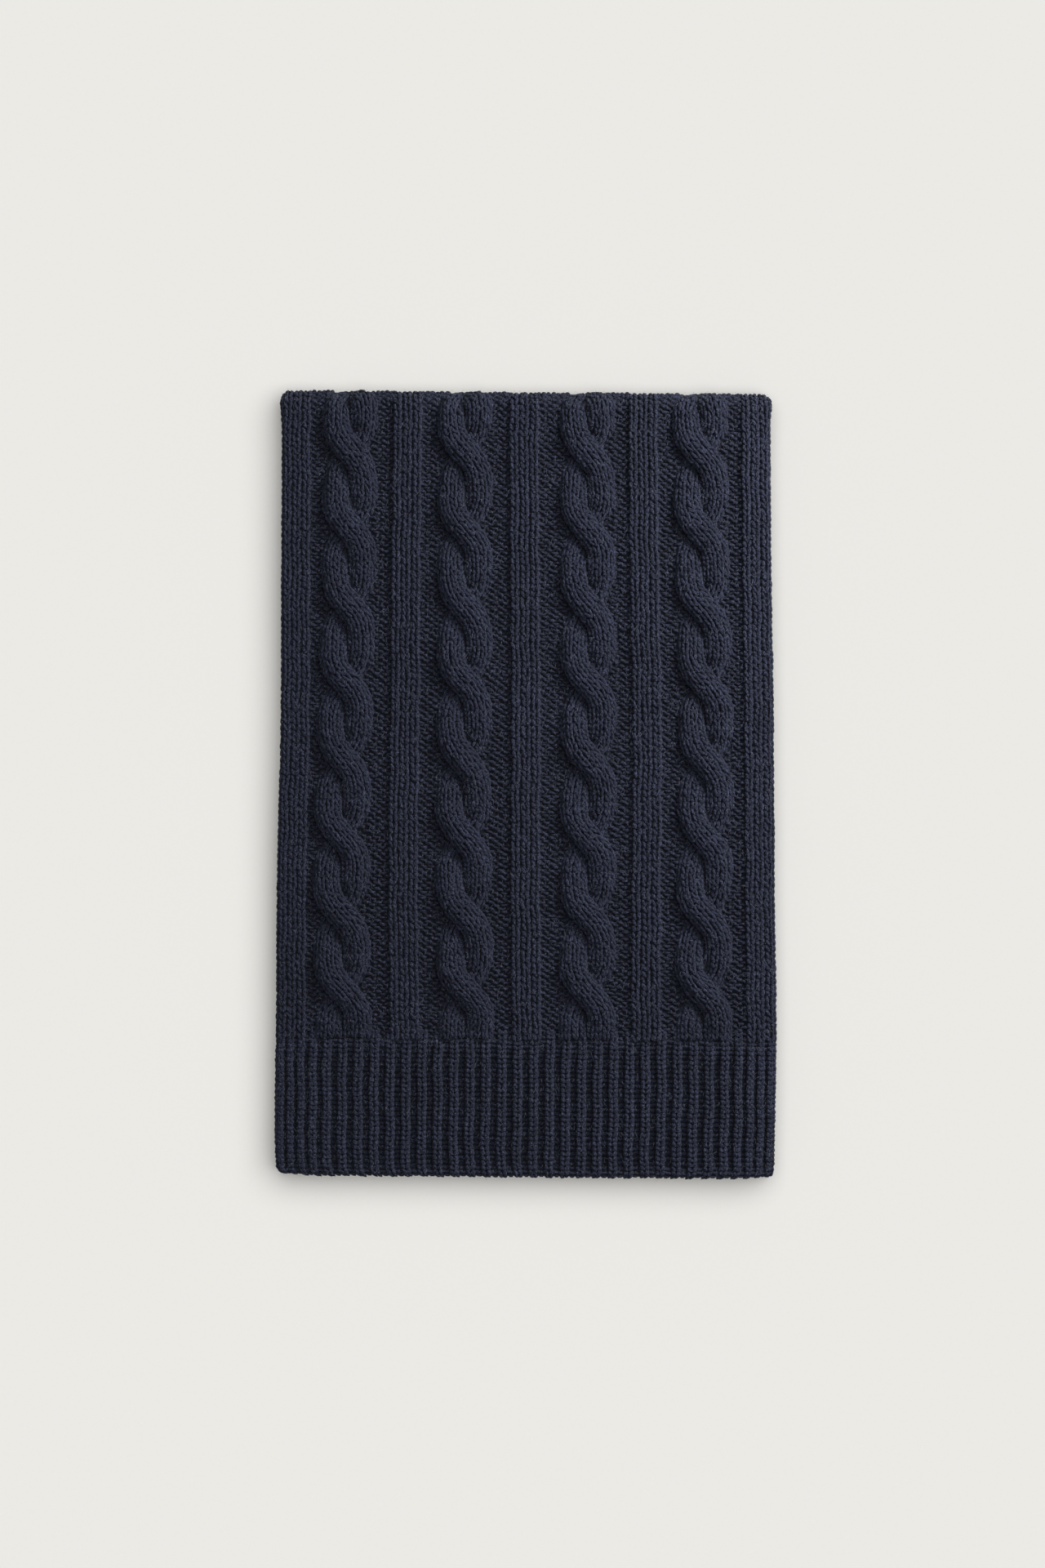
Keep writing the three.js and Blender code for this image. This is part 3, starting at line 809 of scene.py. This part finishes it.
def shell(name, outer, inner, across, along, shaded_under_stitches=False):
    """A closed shell between two grids of points, both (rows, columns, 3)."""
    rows, columns = outer.shape[:2]
    points = np.concatenate([outer.reshape(-1, 3), inner.reshape(-1, 3)])
    index = np.arange(rows * columns).reshape(rows, columns)
    lower = index + rows * columns
    quads = lambda a, b, c, d: np.stack([a, b, c, d], axis=-1).reshape(-1, 4)
    faces = [
        quads(index[:-1, :-1], index[:-1, 1:], index[1:, 1:], index[1:, :-1]),
        quads(lower[:-1, :-1], lower[1:, :-1], lower[1:, 1:], lower[:-1, 1:]),
        quads(index[:-1, 0], index[1:, 0], lower[1:, 0], lower[:-1, 0]),
        quads(index[:-1, -1], lower[:-1, -1], lower[1:, -1], index[1:, -1]),
        quads(index[0, :-1], lower[0, :-1], lower[0, 1:], index[0, 1:]),
        quads(index[-1, :-1], index[-1, 1:], lower[-1, 1:], lower[-1, :-1]),
    ]
    faces = np.concatenate(faces)
    normal = np.cross(outer[0, 1] - outer[0, 0], outer[1, 0] - outer[0, 0])
    if np.dot(normal, outer[0, 0] - inner[0, 0]) < 0:
        faces = faces[:, ::-1]
    obj = mesh_object(name, points, faces, cloth)
    grid = (rows, columns)
    # The third value marks cloth that gets painted shade because it lies under stitches.
    flat = np.stack([np.broadcast_to(v, grid) for v in (across, along, float(shaded_under_stitches))], axis=-1)
    vector_attribute(obj.data, "cloth", np.concatenate([flat.reshape(-1, 3)] * 2))
    return keep(obj)


def panels(c):
    """The left and right edges of the knit bands and panels at a place along."""
    found = [(-LAYOUT_HALF_WIDTH - 20, -BAND_INNER), (BAND_INNER, LAYOUT_HALF_WIDTH + 20)]
    for k in (5, 6, 7):
        centre = column_of(COLUMNS, c, k)
        found.append((centre - PANEL_FLAT - PANEL_SIDE, centre + PANEL_FLAT + PANEL_SIDE))
    return found


def core_height(u, a):
    """The cloth under the stitches of the front, above its inside."""
    height = np.full(np.shape(u), PURL_TOP - 0.6)
    for low, high in panels(a):
        inward = np.minimum(u - low, high - u)
        height = np.maximum(height, lerp(1.6, PANEL_TOP - 0.4, smooth(inward, -1.0, 1.8)))
    for cable in (1, 2, 3, 4):
        for strand in (0, 1):
            across, slope, crown = strand_path(a, strand)[:3]
            off = (u - column_of(COLUMNS, a, cable) - across) / np.sqrt(1 + slope**2)
            share = joined(across, off)
            off = off / lerp(CORE_HALF_WIDTH, CORE_JOINED_HALF_WIDTH, share)
            dome = lerp(CORE_DOME, CORE_JOINED_DOME, share) * (1 - np.sqrt(np.clip(1 - off**2, 0, 1)))
            top = STRAND_GROUND - CORE_SUNK + lerp(SEAM_CROWN, crown, above_rib(a)) - dome
            height = np.where(np.abs(off) < 1, np.maximum(height, top), height)
    return relief(height, a)


def front_shell(name, u, a, height):
    """A shell on the front, whose inside stops at the bends of its free edges."""
    outer = front(u, a, height)
    inside = np.full(u.shape, SHELL_INSIDE)
    inner = front(u / CLOTH_HALF_WIDTH * (SIDE_BEND - 0.1), np.maximum(a, -END_BEND + 0.1), inside)
    return shell(name, outer, inner, u, a, True)


def front_cloth():
    u = np.linspace(-CLOTH_HALF_WIDTH, CLOTH_HALF_WIDTH, 151)[None, :]
    a = np.linspace(RIB_SEAM, FOLD_END, 111)[:, None]
    u, a = np.broadcast_arrays(u, a)
    return front_shell("front_cloth", u, a, core_height(u, a))


def rib_height(u, centres, top, ground):
    """The height of a rib's ridges and grooves across it."""
    away = np.min(np.abs(u[..., None] - centres), axis=-1)
    return lerp(top, ground, smooth(away, 1.2, 3.4))


def front_rib_cloth():
    u = np.linspace(-CLOTH_HALF_WIDTH, CLOTH_HALF_WIDTH, 241)[None, :]
    end = np.linspace(-END_BEND - 4.6, -END_BEND, 8)
    past_end = -END_BEND + np.array([1.5, 3, 4.5, 6])
    a = np.concatenate([end, past_end, np.linspace(-222, RIB_SEAM, 14)])[:, None]
    u, a = np.broadcast_arrays(u, a)
    height = rib_height(u, rib_centres(), ridge_top(a) - 0.5, rib_ground(a) - 0.2)
    return front_shell("front_rib_cloth", u, a, height)


def strip_cloth(name, s, half):
    """A stretch of the layers under the front, rounded at its selvedges."""
    inward = np.array([0, 0.25, 0.9, 1.8, HALF_LAYER])
    between = np.linspace(0, 1, 31)[1:-1]
    shares = np.concatenate([np.zeros(inward.size), between, np.ones(inward.size)])
    inset = np.concatenate([inward, np.zeros(between.size), -inward[::-1]])
    profile = np.sqrt(np.clip(1 - (1 - inward / HALF_LAYER) ** 2, 0.02, 1))
    thick = np.concatenate([profile, np.ones(between.size), profile[::-1]]) * half
    s = s[:, None]
    y, z, out_y, out_z = strip_path(s)
    left = layer_edge(y, s, -1) + LAYER_INSET
    right = layer_edge(y, s, 1) - LAYER_INSET
    x = lerp(left, right, shares[None, :]) + inset[None, :]
    along = np.broadcast_to(s, x.shape)
    outer = place(x, y + thick * out_y, z + thick * out_z)
    inner = place(x, y - thick * out_y, z - thick * out_z)
    return shell(name, outer, inner, x, along)


def underside_cloth():
    s = np.concatenate([np.linspace(0, FLAT, 60), np.linspace(FLAT, FLAT + LOWER_ARC, 12)[1:]])
    return strip_cloth("underside_cloth", s, UNDER_HALF_LAYER)


def hidden_cloth():
    third_end = 2 * FLAT + LOWER_ARC
    second_start = third_end + UPPER_ARC
    third = np.linspace(FLAT + LOWER_ARC + 0.2, third_end, 50)
    fold = np.linspace(third_end, second_start, 12)[1:]
    second = np.linspace(second_start, STRIP_END - (RIB_SEAM - LOWER_FOLD_START), 40)[1:]
    return strip_cloth("hidden_cloth", np.concatenate([third, fold, second]), HALF_LAYER)


def second_rib_cloth():
    u = np.linspace(-LAYOUT_HALF_WIDTH, LAYOUT_HALF_WIDTH, 241)[None, :]
    end = np.linspace(SECOND_END + 0.2, SECOND_END + 4.0, 6)
    a = np.concatenate([end, np.linspace(SECOND_END + 8, RIB_SEAM - 0.3, 14)])[:, None]
    u, a = np.broadcast_arrays(u, a)
    top = rib_height(u, rib_centres(), 4.6, 3.9)
    inward = np.minimum(LAYOUT_HALF_WIDTH - np.abs(u), a - SECOND_END)
    middle = 2.4
    squeeze = np.sqrt(np.clip(1 - (1 - np.clip(inward / 3.4, 0, 1)) ** 2, 0.02, 1))
    left = layer_edge(a, STRIP_END, -1) + SECOND_INSET
    right = layer_edge(a, STRIP_END, 1) - SECOND_INSET
    x = lerp(left, right, (u / LAYOUT_HALF_WIDTH + 1) / 2)
    outer = place(x, a, SECOND_INSIDE + middle + (top - middle) * squeeze)
    inner = place(x, a, SECOND_INSIDE + middle - (middle - SHELL_INSIDE) * squeeze)
    return shell("second_rib_cloth", outer, inner, u, a)


# The stitches

ONE_WALE = np.array([0.0])


def body_rows():
    return courses(RIB_SEAM - 0.6, STITCHED_END)


def rib_rows(past_seam=0.5):
    return courses(-END_BEND - 4.0, RIB_SEAM + past_seam, RIB_COURSE)


def knit_panels():
    """The three panels between the cables, each three wales wide."""
    stitches = Stitches()
    rows = body_rows()
    places = np.array([-1, 0, 1]) * WALE
    for k in (5, 6, 7):
        surface = panel_surface(lambda c, k=k: column_of(COLUMNS, c, k), PANEL_FLAT, PANEL_FLAT)
        knit_columns(stitches, surface, places, rows, COURSE, WALE, width=1.2, lean=18, stretch=0.64)
    return keep(stitches.build("panel_stitches", yarn))


def selvedge_bands():
    """The two bands at the selvedges, each four wales wide."""
    stitches = Stitches()
    rows = body_rows()
    for side in (-1, 1):
        flat = (0.0, BAND_FLAT) if side > 0 else (BAND_FLAT, 0.0)
        surface = panel_surface(lambda c, s=side: s * BAND_FLAT_START, *flat)
        places = side * (np.array([0, 1, 2, 3]) * BAND_WALE + 0.55)
        knit_columns(
            stitches, surface, places, rows, COURSE, BAND_WALE, width=1.16, lean=18, stretch=0.64
        )
    return keep(stitches.build("selvedge_stitches", yarn))


def cable_stitches(cable):
    """Both strands of one cable, each four wales wide, left out where a strand is hidden."""
    stitches = Stitches()
    rows = courses(RIB_SEAM + 0.4, STITCHED_END)
    for strand in (0, 1):
        from_under = np.abs((cable_phase(rows, strand) % 2) - 1)
        shown = rows[from_under > HIDDEN_PHASE]
        places = (np.arange(4) - 1.5) * STRAND_WALE
        surface = strand_surface(cable, strand)
        knit_columns(stitches, surface, places, shown, COURSE, STRAND_WALE, width=1.05, lean=14)
    return keep(stitches.build(f"cable_{cable}_stitches", yarn))


def purl_stitches():
    """Reverse stitches: arches up and down in turn, in the gaps between panels and cables."""
    stitches = Stitches()
    rows = body_rows()
    panel_edge = lambda k, s: lambda c: column_of(COLUMNS, c, k) + s * (PANEL_FLAT + 2.0)
    band_edge = lambda s: lambda c: -s * (BAND_INNER - 0.2) + 0 * c
    gaps = [(band_edge(1), 1, 1), (panel_edge(5, -1), 1, -1)]
    gaps += [(panel_edge(5, 1), 2, 1), (panel_edge(6, -1), 2, -1)]
    gaps += [(panel_edge(6, 1), 3, 1), (panel_edge(7, -1), 3, -1)]
    gaps += [(panel_edge(7, 1), 4, 1), (band_edge(-1), 4, -1)]
    for edge, cable, side in gaps:
        surface = purl_surface(edge, side)
        for k in range(PURL_COLUMNS):
            up = -1 if k % 2 else 1
            w = PURL_START + k * PURL_PITCH
            shown = rows + PURL_SHIFTS[k % 2] * COURSE
            from_axis = np.abs(edge(shown) + side * w - column_of(COLUMNS, shown, cable))
            shown = shown[from_axis > cable_reach(shown) - PURL_TUCK]
            if not len(shown):
                continue
            stitches.lay(
                BUMP, surface, w, shown, 0.1 * up, math.pi / 2,
                length=2.15, width=0.93, thick=1.25, side=-0.6 * up, wander=1.2,
            )
    return keep(stitches.build("purl_stitches", yarn))


def rib_stitches():
    """The ridges of the rib, one wale each, and the wales that round its two selvedges."""
    stitches = Stitches()
    centres = rib_centres()
    gaps = np.diff(centres)
    for k, centre in enumerate(centres):
        near = min(gaps[max(k - 1, 0)], gaps[min(k, len(gaps) - 1)])
        radius = min(RIDGE_RADIUS, near * RIDGE_SHARE)
        surface = ridge_surface(centre, radius)
        on_ground = core_height(np.array([centre]), RIB_SEAM)[0] < PURL_TOP
        rows = rib_rows(6.0 if on_ground else 3.0)
        pitch = 2.2 * radius
        knit_columns(
            stitches, surface, ONE_WALE, rows, RIB_COURSE, pitch, width=1.38, lean=34, wander=0.6
        )
    for side in (-1, 1):
        surface = ridge_surface(side * CLOTH_HALF_WIDTH, EDGE_RIDGE_RADIUS)
        pitch = 2 * EDGE_RIDGE_RADIUS
        knit_columns(stitches, surface, ONE_WALE, rib_rows(), RIB_COURSE, pitch, width=1.2, lean=33)
    return keep(stitches.build("rib_stitches", yarn))


def rib_ground_stitches():
    """Thin arches across the grooves of the rib."""
    stitches = Stitches()
    centres = rib_centres()
    rows = rib_rows()
    for left, right in zip(centres[:-1], centres[1:]):
        surface = ground_surface((left + right) / 2)
        half = min(2.6, (right - left) * 0.28)
        stitches.lay(
            THIN_BUMP, surface, 0.0, rows, 0.0, math.pi / 2,
            length=half, width=0.95, thick=0.9, side=0.6,
        )
    return keep(stitches.build("rib_ground_stitches", yarn))


def layer_selvedges():
    """One wale round each selvedge of the layers under the front."""
    stitches = Stitches()
    rows = courses(6.0, STRIP_END - 0.5)
    for side in (-1, 1):
        surface = selvedge_surface(side)
        knit_columns(
            stitches, surface, ONE_WALE, rows, COURSE, SELVEDGE_WALE, width=1.25, lean=27, thick=0.9
        )
    return keep(stitches.build("layer_edge_stitches", yarn))


def lower_fold_stitches():
    """The wales that go round the lower fold."""
    stitches = Stitches()
    rows = courses(0.6, math.pi * (LOWER_FOLD_RADIUS - YARN_HALF) + 1.0, FOLD_COURSE)
    places = np.arange(-24, 25) * FOLD_WALE
    knit_columns(
        stitches, lower_fold_surface, places, rows, FOLD_COURSE, FOLD_WALE, width=1.3, lean=27
    )
    return keep(stitches.build("lower_fold_stitches", yarn))


def second_end_stitches():
    """The last rows of the second rib, which look out under the first."""
    stitches = Stitches()
    rows = courses(SECOND_END - 1.0, SECOND_END + 10.0, RIB_COURSE)
    for centre in rib_centres():
        surface = second_end_surface(centre)
        knit_columns(stitches, surface, ONE_WALE, rows, RIB_COURSE, SECOND_WALE, width=1.3, lean=33)
    return keep(stitches.build("second_rib_end_stitches", yarn))


def loose_fibres():
    """Fine hairs that stand a little off the front, and out past its edges."""
    u = rng.uniform(-LAYOUT_HALF_WIDTH - 1.5, LAYOUT_HALF_WIDTH + 1.5, FIBRES)
    a = rng.uniform(-END_BEND - 4, FOLD_START + 0.75 * math.pi * FOLD_CLOTH_RADIUS, FIBRES)
    lean = rng.normal(math.pi / 2, 0.55, FIBRES)
    length = rng.uniform(0.8, 3.2, FIBRES)
    lift = rng.uniform(0.15, 0.9, FIBRES)
    curl = rng.normal(0, 0.35, FIBRES)
    on_rib = rib_height(u, rib_centres(), PANEL_TOP, PURL_TOP)
    base = np.where(a < RIB_SEAM, on_rib, core_height(u, a) + 0.6)
    points = []
    for t in (-0.5, -0.17, 0.17, 0.5):
        for side in (-1, 1):
            off = side * FIBRE_HALF * (1.1 - 1.6 * abs(t)) + curl * (t * t - 0.1)
            du = np.cos(lean) * t * length - np.sin(lean) * off
            da = np.sin(lean) * t * length + np.cos(lean) * off
            height = base + 0.85 + lift * (1 - 3 * t * t)
            points.append(front(u + du, a + da, height))
    points = np.stack(points, axis=1)
    start = np.arange(FIBRES)[:, None, None] * 8
    faces = np.array([(0, 1, 3, 2), (2, 3, 5, 4), (4, 5, 7, 6)])[None] + start
    return keep(mesh_object("loose_fibres", points.reshape(-1, 3), faces.reshape(-1, 4), hair))


front_sheet = front_cloth()
front_rib_sheet = front_rib_cloth()
second_rib_sheet = second_rib_cloth()
hidden_sheet = hidden_cloth()
underside_sheet = underside_cloth()

front_pieces = [knit_panels(), selvedge_bands(), purl_stitches(), loose_fibres()]
front_pieces += [cable_stitches(k) for k in (1, 2, 3, 4)]
rib_pieces = [rib_stitches(), rib_ground_stitches()]
second_pieces = [second_end_stitches()]
under_pieces = [layer_selvedges(), lower_fold_stitches()]

for obj in made.values():
    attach(obj, "root")

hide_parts("front_cabled_panel")
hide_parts("front_rib_end")
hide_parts("second_rib_end")
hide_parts("hidden_layers")
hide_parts("underside_panel")


# The table, the light and the camera


def plane(name, half, material):
    """A level square, from -half to half in metres across and along."""
    points = np.array([(-half, -half, 0), (half, -half, 0), (half, half, 0), (-half, half, 0)])
    return mesh_object(name, points.astype(float), np.array([[0, 1, 2, 3]]), material)


floor = plane("floor", 4.0, floor_material())

FRAME_HEIGHT_MM = 938.1
CAMERA_DISTANCE = 3.0
VIEW_CENTRE_MM = (-2.25, 0.4)
SENSOR_MM = 36

# Where the lights stand: azimuth, elevation and distance, in degrees and metres
OVERHEAD_PLACE = (42, 71, 3.0)
OVERHEAD_ENERGY = 2.71
OVERHEAD_SPREAD = math.radians(80)
SIDE_PANEL_PLACE = (36, 28, 0.92)
SIDE_PANEL_ENERGY = 16.2
SIDE_PANEL_SIZE = 0.24
ROOM_LIGHT = 0.13
ROOM_COLOUR = (1.0, 0.995, 0.985, 1)


def add_camera():
    """The photo's view, straight down."""
    data = bpy.data.cameras.new("camera")
    data.sensor_fit = "VERTICAL"
    data.sensor_height = SENSOR_MM
    data.lens = SENSOR_MM * CAMERA_DISTANCE / (FRAME_HEIGHT_MM * 0.001)
    camera = bpy.data.objects.new("camera", data)
    bpy.context.scene.collection.objects.link(camera)
    x, y = VIEW_CENTRE_MM
    camera.location = ((x + SHIFT_X) * 0.001, (y + SHIFT_Y) * 0.001, CAMERA_DISTANCE + 0.02)
    bpy.context.scene.camera = camera


def lit_from(kind, name, azimuth, elevation, distance):
    """A light above the table, azimuth counted from +X towards +Y."""
    light = bpy.data.objects.new(name, bpy.data.lights.new(name, kind))
    bpy.context.scene.collection.objects.link(light)
    flat = math.cos(math.radians(elevation)) * distance
    turn = math.radians(azimuth)
    up = math.sin(math.radians(elevation)) * distance
    light.location = (flat * math.cos(turn), flat * math.sin(turn), up)
    light.rotation_euler = (0, math.radians(90 - elevation), turn)
    return light


def add_light():
    """A large soft light high above the table, and a lower one that light linking keeps off it."""
    overhead = lit_from("SUN", "softbox", *OVERHEAD_PLACE)
    overhead.data.energy = OVERHEAD_ENERGY
    overhead.data.angle = OVERHEAD_SPREAD
    low = lit_from("AREA", "side_panel", *SIDE_PANEL_PLACE)
    low.data.energy = SIDE_PANEL_ENERGY
    low.data.size = SIDE_PANEL_SIZE
    scarf = bpy.data.collections.new("scarf")
    for obj in made.values():
        scarf.objects.link(obj)
    low.light_linking.receiver_collection = scarf
    world = bpy.data.worlds.new("room")
    world.use_nodes = True
    background = world.node_tree.nodes["Background"]
    background.inputs["Color"].default_value = ROOM_COLOUR
    background.inputs["Strength"].default_value = ROOM_LIGHT
    bpy.context.scene.world = world
    bpy.context.scene.view_settings.view_transform = "Standard"


add_camera()
add_light()
